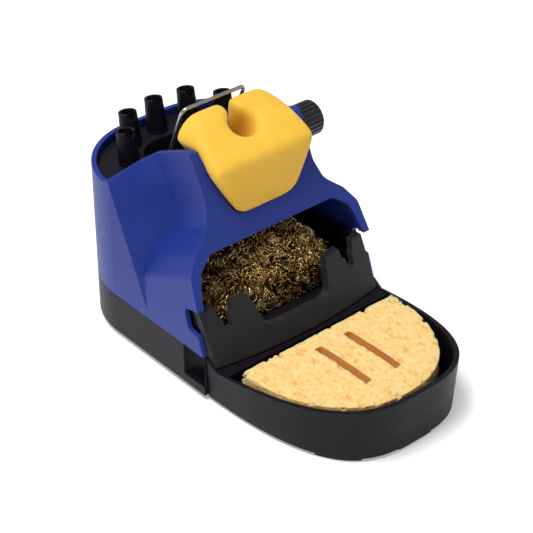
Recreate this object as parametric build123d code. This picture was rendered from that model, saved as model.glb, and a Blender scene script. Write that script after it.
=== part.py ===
"""Soldering iron station: a stand with a tilting iron receptacle, a brass wool cleaner, a wet
sponge tray and a rack of tip posts. Millimetres. +X is the user's right, +Y the back and +Z up,
and the origin is on the table under the middle of the stand."""

from build123d import *
import os
from math import atan, cos, degrees, hypot, pi, radians, sin

# Overall sizes
HALF_WIDTH = 43.0
BACK_Y = 79.5
BACK_CORNER_R = 34.0
FOOT_HEIGHT = 1.5
SEAM_Z = 19.5
RIM_Z = 68.5
WALL = 2.0
LOOSE_GAP = 0.3
RUNNING_GAP = 0.05
FAR = 120.0

# The housing's sloping front, which leans back by TILT from the vertical
SLOPE = 0.458
TILT = atan(SLOPE)
FACE_FOOT_Y = -23.4
FACE_WALL = 2.6
FACE = Plane(origin=(0, FACE_FOOT_Y, 0), x_dir=(1, 0, 0), z_dir=(0, -cos(TILT), sin(TILT)))
# The same origin seen along the slope: local Y is the depth behind the face
DEPTH = Plane(origin=(0, FACE_FOOT_Y, 0), x_dir=(1, 0, 0), z_dir=(0, sin(TILT), cos(TILT)))
PILLAR_FOOT_Z = 38.0
EAR_TOP_Z = 88.3
CHANNEL_FLOOR_Z = 63.0
TOWER_DEPTH = 24.0
FLARE_START_X = 28.0
FLARE_START_DEPTH = 23.4
FLARE_RATE = 0.713

# Lower base
BASE_WALL = 2.8
BASE_FLOOR_TOP_Z = 4.0
BASE_FRONT_Y = -9.3
BALLAST_THICK = 5.0
BASE_SCREW_XY = [(20, 12), (-20, 12), (18, 58), (-18, 58)]
BASE_BOSS_TOP_Z = 11.0
SCREW_R = 1.5
SCREW_HEAD_R = 2.8
BASE_FOOT_XY = [(34, 4), (-34, 4), (27, 66), (-27, 66)]
FOOT_R = 5.0
GRIP_Y = -3.2
GRIP_R = 6.3
GRIP_CENTRE_X = 44.5
GRIP_LIP_Z = 6.0

# Sponge tray: its outline is a superellipse about TRAY_CENTRE_Y
TRAY_CENTRE_Y = 5.0
TRAY_REACH = 84.84
TRAY_POWER = 3.0
TRAY_BACK_Y = -9.6
TRAY_WALL = 2.2
TRAY_FLOOR_TOP_Z = 3.7
TRAY_DRAFT = 1.5
RIM_BACK_Y = -15.0
RIM_BACK_Z = 15.8
RIM_FRONT_Z = 24.0
SHELF_FRONT_Y = -19.5
SHELF_Z = 15.6
TONGUE_HALF = 20.0
SPONGE_BOTTOM_Z = 11.8
SPONGE_TOP_Z = 19.8
SPONGE_BACK_Y = -24.6
SPONGE_HALF = 38.2
SPONGE_REACH = 48.2
SPONGE_SLOT_X = 7.2

# Rubber cleaner, the leaning front wall of the wool case
CLEANER_FOOT_Z = 16.2
CLEANER_TOP_Z = 36.0
CLEANER_FOOT_Y = -13.6
CLEANER_BOW = 4.0
CLEANER_THICK = 3.2
CLEANER_LEAN = 0.5
CLEANER_HALF = 40.6

# Wool case, open at the top and closed in front by the cleaner
CASE_HALF = 39.4
CASE_LOWER_HALF = 35.0
CASE_WALL = 1.6
CASE_BOTTOM_Z = 11.6
CASE_STEP_Z = 19.6
CASE_TOP_Z = 36.0
CASE_BACK_Y = 30.0

# Receptacle and its pivot, on an axis parallel to X
PIVOT_Y = 27.5
PIVOT_Z = 74.5
STUD_R = 2.0
KNOB_R = 7.0
EAR_SIDE_X = 26.6
KNOB_INNER_X = 33.0
KNOB_OUTER_X = 43.0
KNOB_FLUTES = 24
COLLAR_R = 6.3
WASHER_R = 4.5
NUT_AF = 7.0
NUT_X = 10.2
NUT_THICK = 3.2
LEFT_PIN_END_X = 23.0
IRON_HOLE_R = 7.2
CORE_R = 9.0
CORE_LENGTH = 14.0
BOSS_R = 4.6
BOSS_X = 18.8
SLIT = 7.0
BLOCK_HALF = 22.8
BLOCK_FRONT_Y = 5.0
BLOCK_BACK_Y = 31.0
BLOCK_TOP_Z = 96.5
IRON_LEAN = radians(27.0)
IRON_AXIS_Y = 19.0
IRON_AXIS_Z = 90.0

# Wire bail
WIRE_R = 0.75
BAIL_HALF = 14.9
BAIL_TOP = (35.6, 94.6)
BAIL_PIVOT = (49.7, 60.0)
BAIL_END_X = 18.8
BAIL_BEND_R = 2.2

# Tip rack
RACK_TOP_Z = 65.3
RACK_THICK = 2.0
RACK_FRONT_Y = 46.0
RACK_BEVEL = 10.0
RACK_WELL_HALF = 17.0
RACK_WELL_BACK_Y = 65.5
RACK_WELL_DEPTH = 13.0
POST_LEAN = radians(8.0)
POST_FEET = [(0, 71.6), (14.3, 69.4), (-14.3, 69.4), (23.8, 58.2), (-23.8, 58.2)]
POST_TOP_R = 3.6
POST_FOOT_R = 4.2
POST_HEIGHT = 13.6
POST_BORE_R = 2.6
POST_BORE_DEPTH = 12.0
SPIGOT_R = 3.0


def up(height):
    """Distance up the sloping face of a point at this height."""
    return height / cos(TILT)


def outline(points, radii):
    """Closed face from corner points, each rounded by its own radius."""
    return make_face(FilletPolyline(*points, radius=radii, close=True))


def both_sides(points, radii):
    """Closed face symmetric about X = 0, from the corners of its +X half."""
    mirrored = [(-x, y) for x, y in reversed(points)]
    return outline(points + mirrored, radii + list(reversed(radii)))


def prism(face, low_z, high_z):
    """Upright extrusion of a face drawn in plan."""
    return extrude(Pos(0, 0, low_z) * face, amount=high_z - low_z)


def across(face):
    """Extrusion along X, right through the object, of a face drawn in Y and Z."""
    return extrude(Plane.YZ.offset(-FAR / 2) * face, amount=FAR)


def along(face, front_y, back_y):
    """Extrusion along Y, between two places, of a face drawn in X and Z."""
    return extrude(Plane.XZ.offset(-back_y) * face, amount=back_y - front_y)


def x_cylinder(radius, low_x, high_x, y, z):
    """Cylinder along X between two places."""
    turned = Pos((low_x + high_x) / 2, y, z) * Rot(0, 90, 0)
    return turned * Cylinder(radius, high_x - low_x)


def plan(inset, front_y):
    """Footprint of the rear of the stand behind front_y, with two large back corners."""
    half = HALF_WIDTH - inset
    back = BACK_Y - inset
    corner = BACK_CORNER_R - inset
    whole = outline([(-half, -50), (half, -50), (half, back), (-half, back)],
                    [0, 0, corner, corner])
    return whole & Pos(0, front_y + FAR / 2) * Rectangle(FAR, FAR)


# Upper housing

def front_profile():
    """Silhouette of the housing seen square to its sloping face."""
    corners = [(HALF_WIDTH + 5, up(0)), (HALF_WIDTH + 5, up(30)), (HALF_WIDTH, up(38)),
               (41.3, up(50)), (36.3, up(56.5)), (28.6, up(62.5)), (26.0, up(70)),
               (26.0, up(78)), (27.2, up(95))]
    return both_sides(corners, [0, 0, 0, 5, 6, 9, 10, 20, 0])


def channel_profile():
    """Opening between the two ears, seen square to the sloping face."""
    corners = [(14.6, up(CHANNEL_FLOOR_Z)), (19.6, up(78)), (20.8, up(85.5)),
               (25.2, up(91.5)), (25.2, up(96))]
    return both_sides(corners, [6.5, 10, 5, 0, 0])


def window_profile():
    """Opening in front of the brass wool, seen square to the sloping face."""
    corners = [(40.0, up(0)), (40.0, up(PILLAR_FOOT_Z)), (38.2, up(45.5)),
               (36.6, up(49.8)), (30.2, up(54.7))]
    return both_sides(corners, [0, 0, 6, 3, 5])


def flare_depth(x, inset):
    """Depth behind the face of the slanted wall that joins the tower to the sides."""
    return FLARE_START_DEPTH + FLARE_RATE * (x - FLARE_START_X) + inset * hypot(1, FLARE_RATE)


def side_recess(inset):
    """Space beside the tower, outside the front profile and ahead of the slanted wall."""
    profile = offset(front_profile(), -inset) if inset else front_profile()
    around = Pos(0, up(60)) * Rectangle(200, 200) - profile
    beside = extrude(FACE.offset(30) * around, amount=-110)
    near, far = 15.0, 90.0
    corners = [(near, -30), (far, -30), (far, flare_depth(far, inset)),
               (near, flare_depth(near, inset))]
    right = make_face(Polyline(*corners, close=True))
    ahead = extrude(DEPTH.offset(-60) * right, amount=220)
    return beside & (ahead + mirror(ahead, Plane.YZ))


def skyline():
    """Everything above the housing's top edge, seen from the side."""
    corners = [(-60, FAR), (-60, EAR_TOP_Z), (20.0, EAR_TOP_Z), (39.5, EAR_TOP_Z - 9.2),
               (48.5, RIM_Z), (100, RIM_Z), (100, FAR)]
    return across(outline(corners, [0, 0, 2.5, 10, 5, 0, 0]))


def housing_form(low_z, inset, face_inset):
    """Outer form of the housing, or with insets the form of its hollow."""
    form = prism(plan(inset, -40), low_z, FAR)
    form = split(form, bisect_by=FACE.offset(-face_inset), keep=Keep.BOTTOM)
    return form - side_recess(inset)


def housing_front_edges():
    """Space ahead of the side panels below the pillars, with a notch for the case's tabs."""
    front = -40.0
    corners = [(front, 0), (-8.8, 0), (-8.8, SEAM_Z), (-5.9, 27.4), (-0.5, 27.9), (2.0, 36.5),
               (-4.0, PILLAR_FOOT_Z), (front, PILLAR_FOOT_Z)]
    return across(outline(corners, [0, 0, 0, 0.6, 2.0, 2.0, 0, 0]))


def upper_housing():
    """Blue shell with the tower, its two ears, the window and the open back."""
    shell = housing_form(SEAM_Z, 0, 0) - skyline()
    slab = Pos(0, up(CHANNEL_FLOOR_Z - FACE_WALL) + FAR / 2) * Rectangle(FAR, FAR)
    tower = extrude(FACE.offset(5) * slab, amount=-(TOWER_DEPTH + 5))
    shell -= housing_form(SEAM_Z - 1, WALL, FACE_WALL) - tower
    shell -= extrude(FACE.offset(5) * channel_profile(), amount=-(TOWER_DEPTH + 40))
    shell -= extrude(FACE.offset(5) * window_profile(), amount=-(FACE_WALL + 8.0))
    shell -= housing_front_edges()
    # Ledge round the back that carries the tip rack
    ledge_top = RACK_TOP_Z - RACK_THICK - RUNNING_GAP
    ledge = prism(plan(WALL - 0.5, RACK_FRONT_Y + 2), ledge_top - 2.0, ledge_top)
    ledge -= prism(plan(WALL + 1.8, RACK_FRONT_Y), ledge_top - 4, ledge_top + 4)
    shell += ledge
    # A blind hole for the left pin and a through hole for the knob's stud
    return shell - x_cylinder(STUD_R + RUNNING_GAP, -LEFT_PIN_END_X - 0.2, FAR / 2, PIVOT_Y, PIVOT_Z)


# Tip rack

def post_place(foot_x, foot_y):
    """Location of a post's foot on the shelf, leaning back."""
    return Pos(foot_x, foot_y, RACK_TOP_Z) * Rot(-degrees(POST_LEAN), 0, 0)


def tip_posts():
    """Hollow tapered posts that lean back, each with a scoop out of its front and a spigot below."""
    posts = []
    for x, y in POST_FEET:
        place = post_place(x, y)
        sunk = 1.0
        middle = (POST_HEIGHT - sunk) / 2
        body = place * Pos(0, 0, middle) * Cone(POST_FOOT_R, POST_TOP_R, POST_HEIGHT + sunk)
        shelf_top = RACK_TOP_Z + RUNNING_GAP
        body -= Pos(x, y, shelf_top - 5) * Box(20, 20, 10)
        body += Pos(x, y, RACK_TOP_Z - RACK_THICK / 2 + 0.5) * Cylinder(SPIGOT_R, RACK_THICK + 1)
        body -= place * Pos(0, 0, POST_HEIGHT - POST_BORE_DEPTH / 2) * Cylinder(POST_BORE_R,
                                                                              POST_BORE_DEPTH)
        body -= place * Pos(0, -POST_TOP_R, POST_HEIGHT) * Rot(62, 0, 0) * Cylinder(2.0, 9.0)
        posts.append(body)
    return Compound(children=posts)


def tip_rack():
    """C-shaped shelf with a well for the iron's hot end and holes for the posts' spigots."""
    low = RACK_TOP_Z - RACK_THICK
    rack = prism(plan(WALL + LOOSE_GAP, RACK_FRONT_Y), low, RACK_TOP_Z)
    well = [(-RACK_WELL_HALF, RACK_FRONT_Y - 5), (RACK_WELL_HALF, RACK_FRONT_Y - 5),
            (RACK_WELL_HALF, RACK_WELL_BACK_Y), (-RACK_WELL_HALF, RACK_WELL_BACK_Y)]
    lining = [(-RACK_WELL_HALF - WALL, RACK_FRONT_Y), (RACK_WELL_HALF + WALL, RACK_FRONT_Y),
              (RACK_WELL_HALF + WALL, RACK_WELL_BACK_Y + WALL),
              (-RACK_WELL_HALF - WALL, RACK_WELL_BACK_Y + WALL)]
    corner = 11.0
    rack += prism(outline(lining, [0, 0, corner + WALL, corner + WALL]),
                  RACK_TOP_Z - RACK_WELL_DEPTH, RACK_TOP_Z)
    rack -= prism(outline(well, [0, 0, corner, corner]), 0, FAR)
    # Bevelled front corners, which clear the housing's narrowing sides as the rack lifts
    for side in (1, -1):
        rack -= Pos(side * HALF_WIDTH, RACK_FRONT_Y) * Rot(0, 0, 45) * Box(RACK_BEVEL, RACK_BEVEL, FAR * 2)
    for x, y in POST_FEET:
        rack -= Pos(x, y, RACK_TOP_Z) * Cylinder(SPIGOT_R + RUNNING_GAP, 3 * RACK_THICK)
    return rack - x_cylinder(WIRE_R + RUNNING_GAP, -FAR / 2, FAR / 2, *BAIL_PIVOT)


def wire_bail():
    """Bent steel wire with a straight crossbar, sprung into the rack's well at both ends."""
    points = [(-BAIL_END_X, *BAIL_PIVOT), (-BAIL_HALF, *BAIL_PIVOT), (-BAIL_HALF, *BAIL_TOP),
              (BAIL_HALF, *BAIL_TOP), (BAIL_HALF, *BAIL_PIVOT), (BAIL_END_X, *BAIL_PIVOT)]
    route = FilletPolyline(*points, radius=[1.3, BAIL_BEND_R, BAIL_BEND_R, 1.3])
    section = Plane(origin=points[0], z_dir=(1, 0, 0)) * Circle(WIRE_R)
    return sweep(section, path=route)


# Lower base

def lower_base():
    """Open tub under the housing, with a finger recess in each side next to the tray."""
    top = SEAM_Z - 0.1
    tub = prism(plan(0, BASE_FRONT_Y), FOOT_HEIGHT, top)
    tub = chamfer(tub.faces().sort_by(Axis.Z)[0].edges(), 0.7)
    tub -= prism(plan(BASE_WALL, BASE_FRONT_Y + BASE_WALL), BASE_FLOOR_TOP_Z, FAR)
    for side in (1, -1):
        centre = Pos(side * GRIP_CENTRE_X, GRIP_Y)
        pocket = Pos(0, 0, top / 2) * centre * Cylinder(GRIP_R + BASE_WALL, top)
        tub += pocket & prism(plan(0.02, BASE_FRONT_Y), BASE_FLOOR_TOP_Z - 0.5, top)
        grip_height = FAR
        tub -= Pos(0, 0, GRIP_LIP_Z + grip_height / 2) * centre * Cylinder(GRIP_R, grip_height)
    foot_room = Box(2 * CLEANER_HALF + 0.6, 2 * BASE_WALL, FAR)
    tub -= Pos(0, BASE_FRONT_Y, SHELF_Z + FAR / 2) * foot_room
    tongue_slot = Box(2 * TONGUE_HALF + 0.6, 2 * BASE_WALL + 2, 2.4)
    tub -= Pos(0, BASE_FRONT_Y, TRAY_FLOOR_TOP_Z + 3.0) * tongue_slot
    boss_height = BASE_BOSS_TOP_Z - BASE_FLOOR_TOP_Z
    for x, y in BASE_SCREW_XY:
        tub += Pos(x, y, BASE_FLOOR_TOP_Z + boss_height / 2) * Cylinder(3.2, boss_height)
        tub -= Pos(x, y, FOOT_HEIGHT + 4.0) * Cylinder(SCREW_R, 8.0)
        tub -= Pos(x, y, FOOT_HEIGHT + 0.75) * Cylinder(SCREW_HEAD_R + 0.2, 1.5)
    for x, y in BASE_FOOT_XY:
        tub -= Pos(x, y, FOOT_HEIGHT) * Cylinder(FOOT_R + 0.2, 1.2)
    return tub


def ballast_plate():
    """Steel weight lying on the base's floor, drilled for the bosses."""
    plate = prism(plan(BASE_WALL + 1.5, 6.5), BASE_FLOOR_TOP_Z + 0.05,
                  BASE_FLOOR_TOP_Z + BALLAST_THICK)
    for x, y in BASE_SCREW_XY:
        plate -= Pos(x, y, BASE_FLOOR_TOP_Z) * Cylinder(3.6, FAR)
    return plate


def base_screws():
    """Self-tapping screws driven from below into the base's bosses."""
    screws = []
    for x, y in BASE_SCREW_XY:
        head = Pos(x, y, FOOT_HEIGHT + 0.9) * Cylinder(SCREW_HEAD_R, 1.1)
        shank = Pos(x, y, FOOT_HEIGHT + 4.4) * Cylinder(SCREW_R - RUNNING_GAP, 6.0)
        cross = Pos(x, y, FOOT_HEIGHT + 0.5) * (Box(2.8, 0.7, 0.8) + Box(0.7, 2.8, 0.8))
        screws.append(head + shank - cross)
    return Compound(children=screws)


def base_feet():
    """Round rubber feet glued into shallow recesses under the base."""
    feet = []
    for x, y in BASE_FOOT_XY:
        foot = Pos(x, y, (FOOT_HEIGHT + 0.55) / 2) * Cylinder(FOOT_R, FOOT_HEIGHT + 0.55)
        feet.append(chamfer(foot.faces().sort_by(Axis.Z)[0].edges(), 0.4))
    return Compound(children=feet)


# Sponge tray

def superellipse(half, reach, centre_y, back_y, power):
    """Half-round face that bulges towards the user from a straight back edge."""
    steps = 14
    drop = min(1.0, max(0.0, (centre_y - back_y) / reach))
    back_x = half * (1 - drop ** power) ** (1 / power)
    right = [(back_x, back_y)]
    for step in range(1, steps):
        angle = (pi / 2) * step / steps
        x = half * cos(angle) ** (2 / power)
        y = centre_y - reach * sin(angle) ** (2 / power)
        if y < back_y - 1.0:
            right.append((x, y))
    points = right + [(0, centre_y - reach)] + [(-x, y) for x, y in reversed(right)]
    slope = -half / power * drop ** (power - 1) / reach if drop else 0
    curve = Spline(*points, tangents=[(slope, -1), (slope, 1)])
    return make_face(curve + Line(points[-1], points[0]))


def tray_outline(inset, back_y=TRAY_BACK_Y):
    """The tray's outline, or the same outline further in."""
    return superellipse(HALF_WIDTH - inset, TRAY_REACH - inset, TRAY_CENTRE_Y, back_y, TRAY_POWER)


def sponge_tray():
    """Black tray with a rim that rises to the front and a shelf under the cleaner's foot."""
    tray = loft([Pos(0, 0, FOOT_HEIGHT) * tray_outline(TRAY_DRAFT), Pos(0, 0, 30) * tray_outline(0)],
                ruled=True)
    rise = (RIM_FRONT_Z - RIM_BACK_Z) / (RIM_BACK_Y + BACK_Y)
    front = -100.0
    sky = [(front, RIM_BACK_Z + rise * (RIM_BACK_Y - front)), (RIM_BACK_Y, RIM_BACK_Z),
           (TRAY_BACK_Y + 1, SEAM_Z), (TRAY_BACK_Y + 1, FAR), (front, FAR)]
    tray -= across(make_face(Polyline(*sky, close=True)))
    tray -= prism(tray_outline(TRAY_WALL, SHELF_FRONT_Y), TRAY_FLOOR_TOP_Z, FAR)
    shelf = Pos(0, (SHELF_FRONT_Y + 10) / 2, SHELF_Z + FAR / 2)
    tray -= shelf * Box(2 * CLEANER_HALF + 0.6, 10 - SHELF_FRONT_Y, FAR)
    for rib_y in (-33.0, -47.0, -61.0):
        rib = Box(52, 1.6, SPONGE_BOTTOM_Z - TRAY_FLOOR_TOP_Z - 0.05)
        tray += Pos(0, rib_y, (SPONGE_BOTTOM_Z + TRAY_FLOOR_TOP_Z) / 2 - 0.025) * rib
    # Tongue that slides into the base
    tray += Pos(0, TRAY_BACK_Y + 2.0, TRAY_FLOOR_TOP_Z + 3.0) * Box(2 * TONGUE_HALF, 6.0, 1.8)
    return tray


def tray_feet():
    """Three low rubber pads under the tray's front edge."""
    band = tray_outline(TRAY_DRAFT + 0.8) - tray_outline(TRAY_DRAFT + 6.0)
    strip = prism(band, 0, FOOT_HEIGHT - RUNNING_GAP)
    front_pad = strip & Pos(0, -80, 0) * Box(16, 20, 10)
    pads = [front_pad]
    for side in (1, -1):
        pads.append(strip & Pos(side * 28, -66.5, 0) * Rot(0, 0, side * 45) * Box(17, 16, 10))
    return Compound(children=[solid for pad in pads for solid in pad.solids()])


def cleaning_sponge():
    """Half-round cellulose sponge with two slots for wiping."""
    face = superellipse(SPONGE_HALF, SPONGE_REACH, SPONGE_BACK_Y, SPONGE_BACK_Y, 2.3)
    sponge = prism(face, SPONGE_BOTTOM_Z, SPONGE_TOP_Z)
    for side in (1, -1):
        sponge -= Pos(side * SPONGE_SLOT_X, -46.0, 15) * Box(2.6, 27.5, 30)
    return sponge


# Wool case

def cleaner_band(extra):
    """Plan of the bowed cleaner at its foot, moved back by extra."""
    half = CLEANER_HALF
    y_end, y_mid = CLEANER_FOOT_Y + extra, CLEANER_FOOT_Y - CLEANER_BOW + extra
    thick = CLEANER_THICK
    front = ThreePointArc((-half, y_end), (0, y_mid), (half, y_end))
    back = ThreePointArc((-half, y_end + thick), (0, y_mid + thick), (half, y_end + thick))
    return make_face(front + back + Line((-half, y_end), (-half, y_end + thick)) +
                     Line((half, y_end), (half, y_end + thick)))


def lean_back(face, low_z, high_z):
    """Sheared extrusion of a plan that starts at the cleaner's foot and leans back with it."""
    start = Pos(0, CLEANER_LEAN * (low_z - CLEANER_FOOT_Z), low_z) * face
    return extrude(start, amount=(high_z - low_z) * hypot(1, CLEANER_LEAN),
                   dir=(0, CLEANER_LEAN, 1))


def rubber_cleaner():
    """Leaning black wall with a wide dip in the middle and a wiping slot at each side."""
    wall = lean_back(cleaner_band(0), CLEANER_FOOT_Z, CLEANER_TOP_Z)
    dip = both_sides([(15.5, 23.3), (20.5, 40)], [5, 0])
    wall -= along(dip, -40, 20)
    for side in (1, -1):
        corners = [(-1.7, 27.4), (1.7, 27.4), (1.9, 31.5), (3.4, 33), (4.0, 40), (-4.4, 40),
                   (-3.8, 33), (-1.9, 31.5)]
        slot = outline([(side * (30.7 + x), z) for x, z in corners],
                       [1.2, 1.2, 0.8, 0.8, 0, 0, 0.8, 0.8])
        wall -= along(slot, -40, 20)
    return wall


def case_form(inset, extra_top):
    """Outer form of the wool case, narrow inside the base and wide above it, or its hollow."""
    back = CASE_BACK_Y - inset
    floor_y = BASE_FRONT_Y + BASE_WALL + LOOSE_GAP + inset
    top = CASE_TOP_Z + extra_top
    half = CASE_LOWER_HALF - inset
    lower = outline([(-half, floor_y), (half, floor_y), (half, back), (-half, back)], [0, 0, 4, 4])
    half = CASE_HALF - inset
    wide = outline([(-half, -25), (half, -25), (half, back), (-half, back)], [0, 0, 4, 4])
    return prism(lower, CASE_BOTTOM_Z + inset, top) + prism(wide, CASE_STEP_Z + inset, top)


def wool_case():
    """Black open box for the brass wool, with a side tab in each notch of the housing."""
    case = case_form(0, 0)
    for side in (1, -1):
        tab = [(-14.0, 28.4), (-1.4, 28.6), (0.5, 35.4), (0.5, 35.6), (-14.0, 35.6)]
        case += extrude(Plane.YZ.offset(side * (CASE_HALF - 1)) * outline(tab, [0, 2, 0, 0, 0]),
                        amount=side * (CLEANER_HALF - CASE_HALF + 1))
    case -= case_form(CASE_WALL, 10)
    # Everything ahead of the cleaner's back surface
    y_end = CLEANER_FOOT_Y + CLEANER_THICK + RUNNING_GAP
    arc = ThreePointArc((-CLEANER_HALF, y_end), (0, y_end - CLEANER_BOW), (CLEANER_HALF, y_end))
    ahead = make_face(arc + Polyline((CLEANER_HALF, y_end), (FAR, y_end), (FAR, -80),
                                     (-FAR, -80), (-FAR, y_end), (-CLEANER_HALF, y_end)))
    return case - lean_back(ahead, CLEANER_FOOT_Z, CASE_TOP_Z + 5)


def brass_wool():
    """Plain solid with the size of the curled brass wool."""
    half = 31.0
    corners = [(-half, -3.0), (half, -3.0), (half, 28.0), (-half, 28.0)]
    wool = prism(outline(corners, [9, 9, 12, 12]), CASE_BOTTOM_Z + CASE_WALL + 0.05, 51.0)
    side = [(-13.0, 23.5), (-6.4, 23.5), (-6.4, 13), (40, 13), (40, 40), (29.5, 48), (15, 51.0),
            (5.5, 48.0), (-6.0, 32)]
    return wool & across(outline(side, [0, 0, 0, 0, 0, 4, 10, 6, 5]))


# Receptacle, its holder and clamp

def iron_place(distance):
    """Location on the iron's axis, this far up it from the receptacle's pocket."""
    axis = Vector(0, -sin(IRON_LEAN), cos(IRON_LEAN))
    centre = Vector(0, IRON_AXIS_Y, IRON_AXIS_Z) + axis * distance
    return Plane(origin=centre, x_dir=(1, 0, 0), z_dir=axis)


def iron_receptacle():
    """Yellow horseshoe block, open to the back, with a funnel for the iron's handle."""
    side = [(BLOCK_FRONT_Y, 64.0), (BLOCK_FRONT_Y, 84.5), (27, BLOCK_TOP_Z),
            (BLOCK_BACK_Y, BLOCK_TOP_Z), (BLOCK_BACK_Y, 80.0), (22.5, 56.3)]
    slab = outline(side, [2.5, 7, 4, 2.5, 3, 2])
    block = extrude(Plane.YZ.offset(-BLOCK_HALF) * slab, amount=2 * BLOCK_HALF)
    # Sides that taper down into the channel, and rounded shoulders
    for side in (1, -1):
        corners = [(11.0, 64.2), (18.2, 79.0), (18.6, 86.0), (BLOCK_HALF, 89.4),
                   (BLOCK_HALF, 91.2), (13.5, BLOCK_TOP_Z), (13.5, FAR), (60, FAR), (60, 30),
                   (11.0, 30)]
        outside = outline([(side * x, z) for x, z in corners], [4, 6, 1, 0.4, 2.2, 0, 0, 0, 0, 0])
        block -= along(outside, BLOCK_FRONT_Y - 5, BLOCK_BACK_Y + 5)
    block -= iron_place(0) * Cylinder(IRON_HOLE_R, 90)
    block -= iron_place(5.0) * Cone(IRON_HOLE_R - 0.5, 11.0, 14)
    block -= Pos(0, BLOCK_BACK_Y, 80) * Box(SLIT, 2 * (BLOCK_BACK_Y - IRON_AXIS_Y - 2), 80)
    return block - (core_ring(0) + core_bosses())


def core_ring(bore):
    """Tube round the iron's axis at the pivot, with the slit in its back."""
    reach = (IRON_AXIS_Z - PIVOT_Z) / cos(IRON_LEAN)
    ring = iron_place(-reach) * Cylinder(CORE_R, CORE_LENGTH)
    ring -= Pos(0, PIVOT_Y + BOSS_R + 20, PIVOT_Z) * Box(40, 40, 60)
    if bore:
        ring -= iron_place(-reach) * Cylinder(bore, CORE_LENGTH + 2)
    return ring


def core_bosses():
    """The two pivot bosses of the core, which rub on the ears."""
    left = x_cylinder(BOSS_R, -BOSS_X, -IRON_HOLE_R, PIVOT_Y, PIVOT_Z)
    return left + x_cylinder(BOSS_R, IRON_HOLE_R, BOSS_X, PIVOT_Y, PIVOT_Z)


def hexagon(across_flats):
    """Hexagon by its size across the flats."""
    return RegularPolygon(across_flats / 2, 6, major_radius=False)


def x_hexagon(across_flats, low_x, high_x):
    """Hexagonal bar along the pivot axis."""
    return extrude(Plane(origin=(low_x, PIVOT_Y, PIVOT_Z), z_dir=(1, 0, 0)) * hexagon(across_flats),
                   amount=high_x - low_x)


def receptacle_core():
    """Stiff split ring inside the soft block, with the pivot bosses on its sides."""
    core = core_ring(0) + core_bosses()
    reach = (IRON_AXIS_Z - PIVOT_Z) / cos(IRON_LEAN)
    core -= iron_place(-reach) * Cylinder(IRON_HOLE_R, 60)
    core -= Pos(0, BLOCK_BACK_Y, 80) * Box(SLIT, 2 * (BLOCK_BACK_Y - IRON_AXIS_Y - 2), 80)
    core -= x_cylinder(STUD_R, -FAR / 2, 0, PIVOT_Y, PIVOT_Z)
    core -= x_cylinder(STUD_R + RUNNING_GAP, 0, FAR / 2, PIVOT_Y, PIVOT_Z)
    return core - x_hexagon(NUT_AF, NUT_X, NUT_X + NUT_THICK)


def pivot_pin():
    """Steel pin pressed into the core's left boss, turning in the left ear."""
    return x_cylinder(STUD_R, -LEFT_PIN_END_X, -IRON_HOLE_R - 1.0, PIVOT_Y, PIVOT_Z)


def clamp_nut():
    """Hexagon nut held in the core's right boss."""
    nut = x_hexagon(NUT_AF, NUT_X, NUT_X + NUT_THICK)
    return nut - x_cylinder(STUD_R + RUNNING_GAP, 0, FAR / 2, PIVOT_Y, PIVOT_Z)


def clamp_stud():
    """Threaded stud moulded into the knob, drawn as a plain shank."""
    stud = x_cylinder(STUD_R, NUT_X - 0.4, KNOB_OUTER_X - 2.5, PIVOT_Y, PIVOT_Z)
    return chamfer(stud.faces().sort_by(Axis.X)[0].edges(), 0.4)


def clamp_washer():
    """Plain washer between the knob's collar and the right ear."""
    disc = x_cylinder(WASHER_R, EAR_SIDE_X + 0.15, EAR_SIDE_X + 0.95, PIVOT_Y, PIVOT_Z)
    return disc - x_cylinder(STUD_R + RUNNING_GAP, 0, FAR / 2, PIVOT_Y, PIVOT_Z)


def clamp_knob():
    """Black knob with a round collar, a fluted grip and a dished end."""
    collar = x_cylinder(COLLAR_R, EAR_SIDE_X + 1.0, KNOB_INNER_X + 0.5, PIVOT_Y, PIVOT_Z)
    grip = x_cylinder(KNOB_R, KNOB_INNER_X, KNOB_OUTER_X, PIVOT_Y, PIVOT_Z)
    grip = chamfer(grip.faces().sort_by(Axis.X)[-1].edges(), 0.7)
    grip = chamfer(grip.faces().sort_by(Axis.X)[0].edges(), 0.5)
    for flute in range(KNOB_FLUTES):
        angle = 2 * pi * flute / KNOB_FLUTES
        y = PIVOT_Y + (KNOB_R + 0.25) * cos(angle)
        z = PIVOT_Z + (KNOB_R + 0.25) * sin(angle)
        grip -= x_cylinder(0.62, KNOB_INNER_X + 1.0, KNOB_OUTER_X + 1.0, y, z)
    grip -= x_cylinder(KNOB_R - 2.0, KNOB_OUTER_X - 0.6, KNOB_OUTER_X + 1.0, PIVOT_Y, PIVOT_Z)
    return collar + grip - x_cylinder(STUD_R, 0, KNOB_OUTER_X - 2.5, PIVOT_Y, PIVOT_Z)


def write(name, shape):
    """Writes one node's STEP file."""
    export_step(shape, f"parts/{name}.step")


os.makedirs("parts", exist_ok=True)
write("upper_housing", upper_housing())
write("tip_rack", tip_rack())
write("tip_posts", tip_posts())
write("lower_base", lower_base())
write("ballast_plate", ballast_plate())
write("base_screws", base_screws())
write("base_feet", base_feet())
write("sponge_tray", sponge_tray())
write("tray_feet", tray_feet())
write("cleaning_sponge", cleaning_sponge())
write("rubber_cleaner", rubber_cleaner())
write("wool_case", wool_case())
write("brass_wool", brass_wool())
write("iron_receptacle", iron_receptacle())
write("wire_bail", wire_bail())
write("receptacle_core", receptacle_core())
write("pivot_pin", pivot_pin())
write("clamp_nut", clamp_nut())
write("clamp_stud", clamp_stud())
write("clamp_washer", clamp_washer())
write("clamp_knob", clamp_knob())
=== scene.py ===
"""Looks for the soldering iron stand: materials for every CAD node, and detailed meshes for the
yellow receptacle, the brass wool and the cleaning sponge. Metres, in the CAD frame."""

from math import cos, pi, radians, sin

import bmesh
import bpy
import numpy as np
from mathutils import Euler, Matrix, Vector, noise


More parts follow.
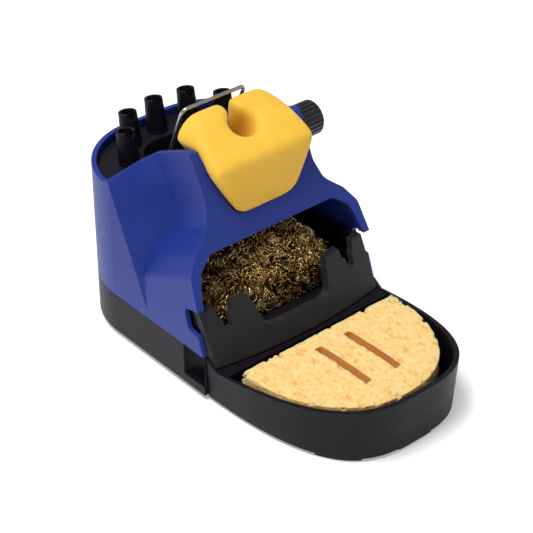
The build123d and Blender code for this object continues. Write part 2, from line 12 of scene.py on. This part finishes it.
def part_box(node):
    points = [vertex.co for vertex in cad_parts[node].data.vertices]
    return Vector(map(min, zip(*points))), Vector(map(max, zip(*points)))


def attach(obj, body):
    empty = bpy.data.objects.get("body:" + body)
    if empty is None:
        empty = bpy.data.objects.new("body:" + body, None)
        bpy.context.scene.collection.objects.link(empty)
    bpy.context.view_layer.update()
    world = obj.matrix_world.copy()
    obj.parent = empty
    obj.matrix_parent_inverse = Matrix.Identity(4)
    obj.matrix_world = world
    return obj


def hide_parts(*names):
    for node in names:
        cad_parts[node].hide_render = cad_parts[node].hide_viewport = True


MM = 0.001
RNG = np.random.default_rng(7)

# Sockets of a Mix node in colour mode
COLOUR_A, COLOUR_B, COLOUR_RESULT = 6, 7, 2

# Camera: aimed at a point in the middle of the stand, from its front left
CAMERA_TARGET = Vector((-0.0004, 0.005, 0.0344))
CAMERA_DISTANCE = 0.6863
CAMERA_AZIMUTH = radians(-40.71)
CAMERA_ELEVATION = radians(34.16)
CAMERA_LENS = 121.57
SENSOR = 36.0

# The housing's sloping front and the receptacle, as in the CAD, in millimetres
FACE_SLOPE = 0.458
FACE_FOOT_Y = -23.4
IRON_LEAN = radians(27.0)
IRON_MOUTH = Vector((0, 19.0, 90.0))
HOLE_R = 5.6
HOLE_LENGTH = 90.0
FUNNEL_R = 8.6
FUNNEL_LENGTH = 14.0
FUNNEL_RAISE = 4.5
BLOCK_HALF = 24.0
FACE_GAP = 0.2
SKIN_VOXEL = 0.8
SKIN_ROUNDS = 105

# Sponge, in millimetres: the pore layers are stretch, cell size, opening and depth
SPONGE_VOXEL = 0.34
SPONGE_CROWN = 1.2
SPONGE_ROUGH = 0.22
SPONGE_INSET = 0.2
PORE_LAYERS = (((1.0, 0.6, 1.0), 3.4, 0.34, 1.7), ((0.7, 1.0, 1.0), 1.8, 0.32, 0.8))
SLOT_OPENING = 0.35

# The sponge's slots lie within these shares of its half width and half depth
SLOT_ZONE = 0.32
SLOT_ZONE_DEEP = 0.85

# Brass wool, in millimetres: its core is highest a little right of the middle
WOOL_PEAK_X = 2.0
WOOL_REACH = 29.0
WOOL_SINK_RIGHT = 0.62
WOOL_SINK_LEFT = 0.42
WOOL_INSET = 2.6
WOOL_LUMPS = 1.6
WOOL_FLOOR = 2.0
WOOL_BARE_BELOW = 18.0
CURL_COUNT = 1700
CURL_LIFT = (0.2, 1.9)
CURL_R = (0.7, 1.8)
CURL_TURNS = (1.2, 3.4)
CURL_PITCH = (1.2, 2.6)
CURL_WIDTH = (0.4, 0.8)
CURL_THICK = 0.1
CURL_STEPS = 12
CURL_TILT = 0.9

# Lights: name, place, power in watts and width, in metres
LIGHTS = (("key", (-0.31, 0.06, 1.12), 11.4, 0.5),
          ("glint", (-0.15, -0.75, 0.75), 0.5, 0.05),
          ("fill", (0.75, -0.7, 0.6), 0.25, 0.8))
SURROUNDINGS = 0.27
FLOOR_HALF = 4.0


# Mesh helpers

def new_object(name, vertices, faces, smooth=False):
    """Mesh object from points in metres."""
    mesh = bpy.data.meshes.new(name)
    mesh.from_pydata([tuple(v) for v in vertices], [], [list(f) for f in faces])
    mesh.validate()
    mesh.update()
    if smooth:
        mesh.polygons.foreach_set("use_smooth", [True] * len(mesh.polygons))
    made = bpy.data.objects.new(name, mesh)
    bpy.context.scene.collection.objects.link(made)
    return made


def prism(outline, along, low, high):
    """Closed prism of an outline in millimetres, extruded along X (outline in Y, Z) or Y (X, Z)."""
    count = len(outline)
    vertices = []
    for place in (low, high):
        for a, b in outline:
            point = (place, a, b) if along == "x" else (a, place, b)
            vertices.append(Vector(point) * MM)
    faces = [tuple(range(count)), tuple(range(2 * count - 1, count - 1, -1))]
    for i in range(count):
        j = (i + 1) % count
        faces.append((i, count + i, count + j, j))
    made = new_object("scratch", vertices, faces)
    recalculate_normals(made)
    return made


def cone(low_r, high_r, length, place):
    """Closed cone frustum about its own Z, put in place by a matrix in millimetres."""
    steps = 48
    vertices = []
    for radius, z in ((low_r, -length / 2), (high_r, length / 2)):
        for i in range(steps):
            turn = 2 * pi * i / steps
            vertices.append((place @ Vector((radius * cos(turn), radius * sin(turn), z))) * MM)
    faces = [tuple(range(steps)), tuple(range(2 * steps - 1, steps - 1, -1))]
    for i in range(steps):
        j = (i + 1) % steps
        faces.append((i, steps + i, steps + j, j))
    made = new_object("scratch", vertices, faces)
    recalculate_normals(made)
    return made


def recalculate_normals(made):
    """Turns every face outwards."""
    work = bmesh.new()
    work.from_mesh(made.data)
    bmesh.ops.recalc_face_normals(work, faces=work.faces)
    work.to_mesh(made.data)
    work.free()


def freeze(made):
    """Applies the modifiers by swapping in the evaluated mesh."""
    graph = bpy.context.evaluated_depsgraph_get()
    mesh = bpy.data.meshes.new_from_object(made.evaluated_get(graph))
    made.modifiers.clear()
    made.data = mesh
    return made


def combine(made, other, operation):
    """Boolean of two closed meshes; other is used up."""
    modifier = made.modifiers.new("combine", "BOOLEAN")
    modifier.object = other
    modifier.operation = operation
    modifier.solver = "EXACT"
    freeze(made)
    bpy.data.objects.remove(other)
    return made


def remesh(made, voxel_mm):
    """Even quads all over the surface."""
    modifier = made.modifiers.new("remesh", "REMESH")
    modifier.mode = "VOXEL"
    modifier.voxel_size = voxel_mm * MM
    modifier.use_smooth_shade = True
    return freeze(made)


def soften(made, rounds):
    """Rounds edges over a distance that grows with the number of rounds."""
    modifier = made.modifiers.new("soften", "SMOOTH")
    modifier.factor = 0.5
    modifier.iterations = rounds
    return freeze(made)


def points_of(made):
    """The mesh's points as an array."""
    flat = np.zeros(len(made.data.vertices) * 3)
    made.data.vertices.foreach_get("co", flat)
    return flat.reshape(-1, 3)


def set_points(made, points):
    """Writes the mesh's points back."""
    made.data.vertices.foreach_set("co", points.ravel())
    made.data.update()


def normals_of(made):
    """The mesh's point normals as an array."""
    return np.array([v.normal for v in made.data.vertices])


# Material helpers

def material(name, roughness, sheen=0.0, metallic=0.0, specular=0.5):
    """New node material; returns it with its node tree and its main shader."""
    made = bpy.data.materials.new(name)
    made.use_nodes = True
    tree = made.node_tree
    shader = tree.nodes["Principled BSDF"]
    shader.inputs["Roughness"].default_value = roughness
    shader.inputs["Metallic"].default_value = metallic
    shader.inputs["Specular IOR Level"].default_value = specular
    shader.inputs["Sheen Weight"].default_value = sheen
    return made, tree, shader


def object_coordinates(tree):
    """Object space, which is metres in the CAD frame."""
    return tree.nodes.new("ShaderNodeTexCoord").outputs["Object"]


def noise_factor(tree, scale, detail=3.0, roughness=0.55):
    """Fractal noise between 0 and 1."""
    node = tree.nodes.new("ShaderNodeTexNoise")
    node.inputs["Scale"].default_value = scale
    node.inputs["Detail"].default_value = detail
    node.inputs["Roughness"].default_value = roughness
    tree.links.new(object_coordinates(tree), node.inputs["Vector"])
    return node.outputs["Fac"]


def ramp(tree, factor, stops):
    """Colour ramp over a factor."""
    node = tree.nodes.new("ShaderNodeValToRGB")
    while len(node.color_ramp.elements) < len(stops):
        node.color_ramp.elements.new(0.5)
    for element, (place, colour) in zip(node.color_ramp.elements, stops):
        element.position = place
        element.color = (*colour, 1.0)
    tree.links.new(factor, node.inputs["Fac"])
    return node.outputs["Color"]


def spread(tree, factor, low, high):
    """Maps a factor to a range of numbers."""
    node = tree.nodes.new("ShaderNodeMapRange")
    node.inputs["To Min"].default_value = low
    node.inputs["To Max"].default_value = high
    tree.links.new(factor, node.inputs["Value"])
    return node.outputs["Result"]


def painted_edge_highlight(tree, colour, edge_colour, amount):
    """Painted highlight: blends in a lighter colour along convex edges."""
    pointiness = tree.nodes.new("ShaderNodeNewGeometry").outputs["Pointiness"]
    strength = tree.nodes.new("ShaderNodeMapRange")
    strength.inputs["From Min"].default_value = 0.51
    strength.inputs["From Max"].default_value = 0.60
    strength.inputs["To Min"].default_value = 0.0
    strength.inputs["To Max"].default_value = amount
    tree.links.new(pointiness, strength.inputs["Value"])
    mix = tree.nodes.new("ShaderNodeMix")
    mix.data_type = "RGBA"
    mix.inputs[COLOUR_B].default_value = (*edge_colour, 1.0)
    tree.links.new(strength.outputs["Result"], mix.inputs["Factor"])
    tree.links.new(colour, mix.inputs[COLOUR_A])
    return mix.outputs[COLOUR_RESULT]


def rounded_bump(tree, shader, height, distance, edge_radius):
    """Fine surface relief over edges that catch the light as if rounded."""
    bump = tree.nodes.new("ShaderNodeBump")
    bump.inputs["Distance"].default_value = distance
    bump.inputs["Strength"].default_value = 1.0
    tree.links.new(height, bump.inputs["Height"])
    if edge_radius:
        bevel = tree.nodes.new("ShaderNodeBevel")
        bevel.samples = 4
        bevel.inputs["Radius"].default_value = edge_radius
        tree.links.new(bevel.outputs["Normal"], bump.inputs["Normal"])
    tree.links.new(bump.outputs["Normal"], shader.inputs["Normal"])


def moulded_plastic(name, dark, light, edge, roughness, specular, edge_radius=0.5 * MM):
    """Spark-eroded grain, very slight mottling and edges a shade lighter as a painted highlight."""
    made, tree, shader = material(name, roughness, specular=specular)
    colour = ramp(tree, noise_factor(tree, 55.0), [(0.3, dark), (0.7, light)])
    # Painted highlight: convex edges are blended towards the lighter edge colour
    tree.links.new(painted_edge_highlight(tree, colour, edge, 0.7), shader.inputs["Base Color"])
    rough = spread(tree, noise_factor(tree, 300.0), roughness - 0.07, roughness + 0.07)
    tree.links.new(rough, shader.inputs["Roughness"])
    rounded_bump(tree, shader, noise_factor(tree, 1400.0, 2.0), 0.00004, edge_radius)
    return made


def silicone(name, dark, light, roughness):
    """Matt rubber with a soft bloom."""
    made, tree, shader = material(name, roughness, sheen=0.12, specular=0.35)
    colour = ramp(tree, noise_factor(tree, 40.0), [(0.3, dark), (0.7, light)])
    tree.links.new(colour, shader.inputs["Base Color"])
    rounded_bump(tree, shader, noise_factor(tree, 900.0, 2.0), 0.00003, 0.3 * MM)
    return made


def steel(name, colour, roughness):
    """Drawn or plated steel with fine lines."""
    made, tree, shader = material(name, roughness, metallic=1.0)
    dark = tuple(0.8 * c for c in colour)
    tone = ramp(tree, noise_factor(tree, 500.0), [(0.35, dark), (0.65, colour)])
    tree.links.new(tone, shader.inputs["Base Color"])
    rough = spread(tree, noise_factor(tree, 2500.0), roughness - 0.08, roughness + 0.1)
    tree.links.new(rough, shader.inputs["Roughness"])
    rounded_bump(tree, shader, noise_factor(tree, 3000.0, 1.0), 0.00001, 0)
    return made


def brass(name, brightness):
    """Curled shavings with darker, redder patches."""
    made, tree, shader = material(name, 0.24, metallic=1.0)
    tones = [(0.30, (0.24, 0.13, 0.04)), (0.48, (0.80, 0.55, 0.21)), (0.66, (1.0, 0.84, 0.50))]
    stops = [(place, tuple(brightness * c for c in tone)) for place, tone in tones]
    colour = ramp(tree, noise_factor(tree, 260.0, 4.0), stops)
    tree.links.new(colour, shader.inputs["Base Color"])
    rough = spread(tree, noise_factor(tree, 900.0), 0.10, 0.28)
    tree.links.new(rough, shader.inputs["Roughness"])
    return made


def cellulose(name):
    """Open-pored sponge, with painted shade making it deeper orange inside the pores and slots."""
    made, tree, shader = material(name, 0.92, sheen=0.15, specular=0.2)
    colour = ramp(tree, noise_factor(tree, 320.0, 5.0, 0.7),
                  [(0.28, (0.88, 0.52, 0.17)), (0.5, (0.98, 0.66, 0.26)), (0.75, (1.0, 0.77, 0.38))])
    # Painted shade: concave spots, found by low pointiness, are blended towards a deeper orange
    pointiness = tree.nodes.new("ShaderNodeNewGeometry").outputs["Pointiness"]
    hollow_shade = tree.nodes.new("ShaderNodeMapRange")
    hollow_shade.inputs["From Min"].default_value = 0.38
    hollow_shade.inputs["From Max"].default_value = 0.49
    hollow_shade.inputs["To Min"].default_value = 0.75
    hollow_shade.inputs["To Max"].default_value = 0.0
    tree.links.new(pointiness, hollow_shade.inputs["Value"])
    mix = tree.nodes.new("ShaderNodeMix")
    mix.data_type = "RGBA"
    mix.inputs[COLOUR_B].default_value = (0.84, 0.40, 0.075, 1.0)
    tree.links.new(hollow_shade.outputs["Result"], mix.inputs["Factor"])
    tree.links.new(colour, mix.inputs[COLOUR_A])
    # Painted shade: the marked slot walls are painted a deeper orange
    wall = tree.nodes.new("ShaderNodeAttribute")
    wall.attribute_name = "slot_wall"
    slot_shade = tree.nodes.new("ShaderNodeMix")
    slot_shade.data_type = "RGBA"
    slot_shade.inputs[COLOUR_B].default_value = (0.98, 0.47, 0.10, 1.0)
    tree.links.new(wall.outputs["Fac"], slot_shade.inputs["Factor"])
    tree.links.new(mix.outputs[COLOUR_RESULT], slot_shade.inputs[COLOUR_A])
    tree.links.new(slot_shade.outputs[COLOUR_RESULT], shader.inputs["Base Color"])
    rounded_bump(tree, shader, noise_factor(tree, 1300.0, 4.0, 0.7), 0.00025, 0)
    shader.inputs["Subsurface Weight"].default_value = 0.6
    shader.inputs["Subsurface Radius"].default_value = (1.0, 0.6, 0.25)
    shader.inputs["Subsurface Scale"].default_value = 0.003
    return made


def floor_paint(name):
    """Seamless white studio floor."""
    made, tree, shader = material(name, 0.9, specular=0.1)
    colour = ramp(tree, noise_factor(tree, 2.0), [(0.0, (0.93, 0.93, 0.93)), (1.0, (0.96, 0.96, 0.96))])
    tree.links.new(colour, shader.inputs["Base Color"])
    shader.inputs["Emission Color"].default_value = (1, 1, 1, 1)
    shader.inputs["Emission Strength"].default_value = 0.3
    return made


# Pieces

def yellow_receptacle(skin):
    """Puffy horseshoe of soft silicone with a scooped mouth, open to the back by a slit."""
    profile = [(4.0, 62.6), (4.0, 85.2), (26.0, 96.5), (31.2, 96.5), (31.2, 80), (22.8, 56.4)]
    block = prism(profile, "x", -BLOCK_HALF, BLOCK_HALF)
    half = [(11.4, 62.0), (15.4, 64.8), (17.6, 69.0), (20.8, 76.0), (23.2, 81.0), (23.8, 85.0),
            (22.9, 90.0), (20.0, 93.6), (14.0, 97.6)]
    front = half + [(-x, z) for x, z in reversed(half)]
    block = combine(block, prism(front, "y", 0, 40), "INTERSECT")
    for side in (1, -1):
        channel = [(12.4, 30), (12.4, 62.8), (15.4, 69.6), (19.4, 78), (20.0, 84.6), (24.4, 87.4),
                   (40, 87.4), (40, 30)]
        beside = prism([(side * x, z) for x, z in channel], "y", -5, 45)
        ahead = [(-25, 35), (FACE_FOOT_Y + FACE_SLOPE * 35 - FACE_GAP, 35),
                 (FACE_FOOT_Y + FACE_SLOPE * 100 - FACE_GAP, 100), (-25, 100)]
        beside = combine(beside, prism(ahead, "x", -50, 50), "DIFFERENCE")
        block = combine(block, beside, "DIFFERENCE")
    lean = Matrix.Translation(IRON_MOUTH) @ Euler((IRON_LEAN, 0, 0)).to_matrix().to_4x4()
    block = combine(block, cone(HOLE_R, HOLE_R, HOLE_LENGTH, lean), "DIFFERENCE")
    funnel = lean @ Matrix.Translation((0, 0, FUNNEL_RAISE))
    block = combine(block, cone(HOLE_R - 0.5, FUNNEL_R, FUNNEL_LENGTH, funnel), "DIFFERENCE")
    slit = [(-0.9, 40), (0.9, 40), (0.9, 84), (1.6, 101), (-1.6, 101), (-0.9, 84)]
    block = combine(block, prism(slit, "y", 21, 45), "DIFFERENCE")
    block = remesh(block, SKIN_VOXEL)
    block = soften(block, SKIN_ROUNDS)
    block.name = block.data.name = "receptacle_skin"
    smooth = block.modifiers.new("finer", "SUBSURF")
    smooth.levels = smooth.render_levels = 1
    freeze(block)
    block.data.polygons.foreach_set("use_smooth", [True] * len(block.data.polygons))
    block.data.materials.clear()
    block.data.materials.append(skin)
    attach(block, "receptacle")
    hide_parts("iron_receptacle")


def sponge_pad(frame, skin):
    """Cellulose sponge with a slight crown, open pores and ragged cut edges."""
    low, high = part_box("cleaning_sponge")
    pad = new_object("sponge_pad", [], [])
    pad.data = frame["nodes"]["cleaning_sponge"].data.copy()
    pad.data.materials.clear()
    remesh(pad, SPONGE_VOXEL)
    soften(pad, 3)
    points = points_of(pad)
    normals = normals_of(pad)
    middle = (low + high) / 2
    reach = np.array(high - low) / 2
    share = (points - np.array(middle)) / reach
    crown = np.clip(1 - share[:, 0] ** 2, 0, 1) * np.clip(1 - share[:, 1] ** 2, 0, 1)
    on_top = np.clip(share[:, 2], 0, 1)
    points[:, 2] += SPONGE_CROWN * MM * crown * on_top
    # The walls of the two slots: steep faces well inside the outline
    in_slot = ((np.abs(normals[:, 2]) < 0.6) & (np.abs(share[:, 0]) < SLOT_ZONE)
               & (np.abs(share[:, 1]) < SLOT_ZONE_DEEP))
    moved = np.zeros(len(points))
    for i, (point, normal) in enumerate(zip(points, normals)):
        at = Vector(point) / MM
        ragged = noise.fractal(at * 0.22, 1.0, 2.0, 4)
        depth = SPONGE_ROUGH * ragged - SPONGE_INSET
        for stretch, cell, size, deep in PORE_LAYERS:
            spot = Vector((at.x * stretch[0], at.y * stretch[1], at.z * stretch[2])) / cell
            nearest = noise.voronoi(spot)[0][0]
            here = 0.5 + 0.5 * noise.noise(spot * 0.6 + Vector((7, 3, 1)))
            opening = size * (0.45 + 0.9 * here)
            if nearest < opening:
                depth -= deep * min(1.0, (opening - nearest) / opening * 2.2)
        if in_slot[i]:
            depth = -SLOT_OPENING
        moved[i] = depth * MM
    points += normals * moved[:, None]
    set_points(pad, points)
    # Marks the slot walls, which the sponge material paints a deeper orange as painted shade
    inner = pad.data.attributes.new("slot_wall", "FLOAT", "POINT")
    inner.data.foreach_set("value", in_slot.astype(float))
    pad.data.polygons.foreach_set("use_smooth", [True] * len(pad.data.polygons))
    pad.data.materials.append(skin)
    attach(pad, "sponge")
    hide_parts("cleaning_sponge")


def strand(centre, direction, radius, turns, pitch, width, thick):
    """One curled shaving: a flat ribbon wound round a line, as points and faces."""
    steps = max(CURL_STEPS, int(turns * CURL_STEPS))
    direction = direction.normalized()
    side = direction.orthogonal().normalized()
    other = direction.cross(side)
    start = RNG.uniform(0, 2 * pi)
    bend = Vector(RNG.normal(0, 1, 3)) * 0.25
    vertices, faces = [], []
    for i in range(steps + 1):
        along = i / steps
        turn = start + 2 * pi * turns * along
        swell = radius * (0.8 + 0.35 * sin(pi * along))
        out = side * cos(turn) + other * sin(turn)
        line = direction * ((along - 0.5) * pitch * turns) + bend * pitch * turns * (along - 0.5) ** 2
        point = centre + line + out * swell
        tilt = direction * cos(CURL_TILT) + out * sin(CURL_TILT)
        flat = tilt.normalized() * width / 2
        up = out * thick / 2
        vertices += [point - flat, point + up, point + flat, point - up]
        if i:
            a, b = 4 * (i - 1), 4 * i
            for k in range(4):
                m = (k + 1) % 4
                faces.append((a + k, a + m, b + m, b + k))
    faces.append((3, 2, 1, 0))
    last = 4 * steps
    faces.append((last, last + 1, last + 2, last + 3))
    return vertices, faces


def inside_box(point, low, high):
    """The point, kept inside the CAD solid's box."""
    return Vector(min(max(point[k], low[k]), high[k]) for k in range(3))


def wool_ball(frame, skin, shadow):
    """Curled brass shavings over a dense core of the CAD solid's shape; the core is a dark copy of the
    brass, painted shade in the gaps between the curls.
    """
    low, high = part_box("brass_wool")
    core = new_object("wool_core", [], [])
    core.data = frame["nodes"]["brass_wool"].data.copy()
    core.data.materials.clear()
    remesh(core, 1.2)
    soften(core, 14)
    points = points_of(core)
    normals = normals_of(core)
    depth = np.array([noise.fractal(Vector(p) / MM * 0.16, 1.0, 2.0, 4) for p in points])
    points += normals * (depth * WOOL_LUMPS * MM - WOOL_INSET * MM)[:, None]
    # The ball sinks towards its sides, more on the right
    floor_z = low.z + WOOL_FLOOR * MM
    off = (points[:, 0] / MM - WOOL_PEAK_X) / WOOL_REACH
    sink = np.clip(off, 0, 1.1) ** 2 * WOOL_SINK_RIGHT + np.clip(-off, 0, 1.1) ** 2 * WOOL_SINK_LEFT
    points[:, 2] = floor_z + (points[:, 2] - floor_z) * (1 - sink)
    set_points(core, points)
    normals = normals_of(core)
    vertices, faces = [], []
    open_top = points[:, 2] > WOOL_BARE_BELOW * MM
    candidates = np.nonzero(open_top)[0]
    for index in RNG.choice(candidates, CURL_COUNT):
        normal = Vector(normals[index])
        spot = Vector(points[index]) + normal * RNG.uniform(*CURL_LIFT) * MM
        lay = Vector(RNG.normal(0, 1, 3))
        lay -= normal * lay.dot(normal) * 0.75
        more, shapes = strand(spot, lay, RNG.uniform(*CURL_R) * MM, RNG.uniform(*CURL_TURNS),
                              RNG.uniform(*CURL_PITCH) * MM, RNG.uniform(*CURL_WIDTH) * MM,
                              CURL_THICK * MM)
        shift = len(vertices)
        vertices += [inside_box(v, low, high) for v in more]
        faces += [tuple(shift + k for k in shape) for shape in shapes]
    curls = new_object("wool_curls", vertices, faces, smooth=True)
    for made, finish in ((core, shadow), (curls, skin)):
        made.data.materials.append(finish)
        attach(made, "base")
    core.data.polygons.foreach_set("use_smooth", [True] * len(core.data.polygons))
    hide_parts("brass_wool")


# Stage

def studio(floor_skin):
    """White floor, even white surroundings, a large soft light overhead and two weak ones in front."""
    far = FLOOR_HALF
    floor = new_object("floor", [(-far, -far, 0), (far, -far, 0), (far, far, 0), (-far, far, 0)],
                       [(0, 1, 2, 3)])
    floor.data.materials.append(floor_skin)
    world = bpy.data.worlds.new("studio")
    world.use_nodes = True
    background = world.node_tree.nodes["Background"]
    background.inputs["Color"].default_value = (1, 1, 1, 1)
    background.inputs["Strength"].default_value = SURROUNDINGS
    bpy.context.scene.world = world
    for name, place, power, width in LIGHTS:
        lamp = bpy.data.lights.new(name, "AREA")
        lamp.energy = power
        lamp.size = width
        made = bpy.data.objects.new(name, lamp)
        bpy.context.scene.collection.objects.link(made)
        made.location = place
        aim = CAMERA_TARGET - Vector(place)
        made.rotation_euler = aim.to_track_quat("-Z", "Y").to_euler()
    bpy.context.scene.view_settings.view_transform = "Standard"


def camera():
    """The camera, from the azimuth, elevation and distance named at the top."""
    data = bpy.data.cameras.new("camera")
    data.lens = CAMERA_LENS
    data.sensor_width = SENSOR
    made = bpy.data.objects.new("camera", data)
    bpy.context.scene.collection.objects.link(made)
    level = cos(CAMERA_ELEVATION)
    back = Vector((level * sin(CAMERA_AZIMUTH), -level * cos(CAMERA_AZIMUTH), sin(CAMERA_ELEVATION)))
    made.location = CAMERA_TARGET + back * CAMERA_DISTANCE
    made.rotation_euler = (-back).to_track_quat("-Z", "Y").to_euler()
    bpy.context.scene.camera = made


def dress(frame):
    """Gives every CAD node its material."""
    # The third colour of each plastic is painted onto its convex edges as a highlight
    blue = moulded_plastic("blue_abs", (0.010, 0.027, 0.215), (0.014, 0.034, 0.250),
                           (0.022, 0.046, 0.29), 0.44, 0.25)
    black = moulded_plastic("black_abs", (0.0058, 0.0050, 0.0085), (0.0068, 0.0058, 0.0098),
                            (0.013, 0.011, 0.016), 0.44, 0.14)
    knob = moulded_plastic("knob_black", (0.009, 0.008, 0.009), (0.014, 0.012, 0.015),
                           (0.07, 0.06, 0.07), 0.36, 0.4, 0.2 * MM)
    rubber = silicone("black_silicone", (0.009, 0.008, 0.010), (0.014, 0.012, 0.015), 0.5)
    foot = silicone("foot_rubber", (0.014, 0.014, 0.014), (0.022, 0.022, 0.022), 0.7)
    wire = steel("drawn_wire", (0.66, 0.65, 0.64), 0.28)
    zinc = steel("zinc_plate", (0.62, 0.62, 0.60), 0.34)
    finish = {
        "upper_housing": blue, "tip_rack": black, "tip_posts": black, "lower_base": black,
        "sponge_tray": black, "wool_case": black, "rubber_cleaner": rubber, "clamp_knob": knob,
        "receptacle_core": black, "base_feet": foot, "tray_feet": foot, "wire_bail": wire,
        "base_screws": zinc, "ballast_plate": zinc, "pivot_pin": zinc, "clamp_nut": zinc,
        "clamp_stud": zinc, "clamp_washer": zinc}
    for node, skin in finish.items():
        data = frame["nodes"][node].data
        data.materials.clear()
        data.materials.append(skin)


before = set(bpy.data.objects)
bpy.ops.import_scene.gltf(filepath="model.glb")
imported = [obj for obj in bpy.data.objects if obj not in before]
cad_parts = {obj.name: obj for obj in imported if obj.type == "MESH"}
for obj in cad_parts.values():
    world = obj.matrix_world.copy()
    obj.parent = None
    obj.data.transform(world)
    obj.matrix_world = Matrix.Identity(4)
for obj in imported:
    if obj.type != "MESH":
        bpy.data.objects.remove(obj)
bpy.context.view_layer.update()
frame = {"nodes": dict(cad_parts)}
dress(frame)
yellow_receptacle(silicone("yellow_silicone", (0.84, 0.48, 0.038), (0.91, 0.555, 0.052), 0.62))
# The core's brass is a copy at 0.09 brightness: painted shade between the curls
wool_ball(frame, brass("brass_shavings", 1.0), brass("brass_painted_shade", 0.09))
sponge_pad(frame, cellulose("cellulose"))
studio(floor_paint("studio_floor"))
camera()
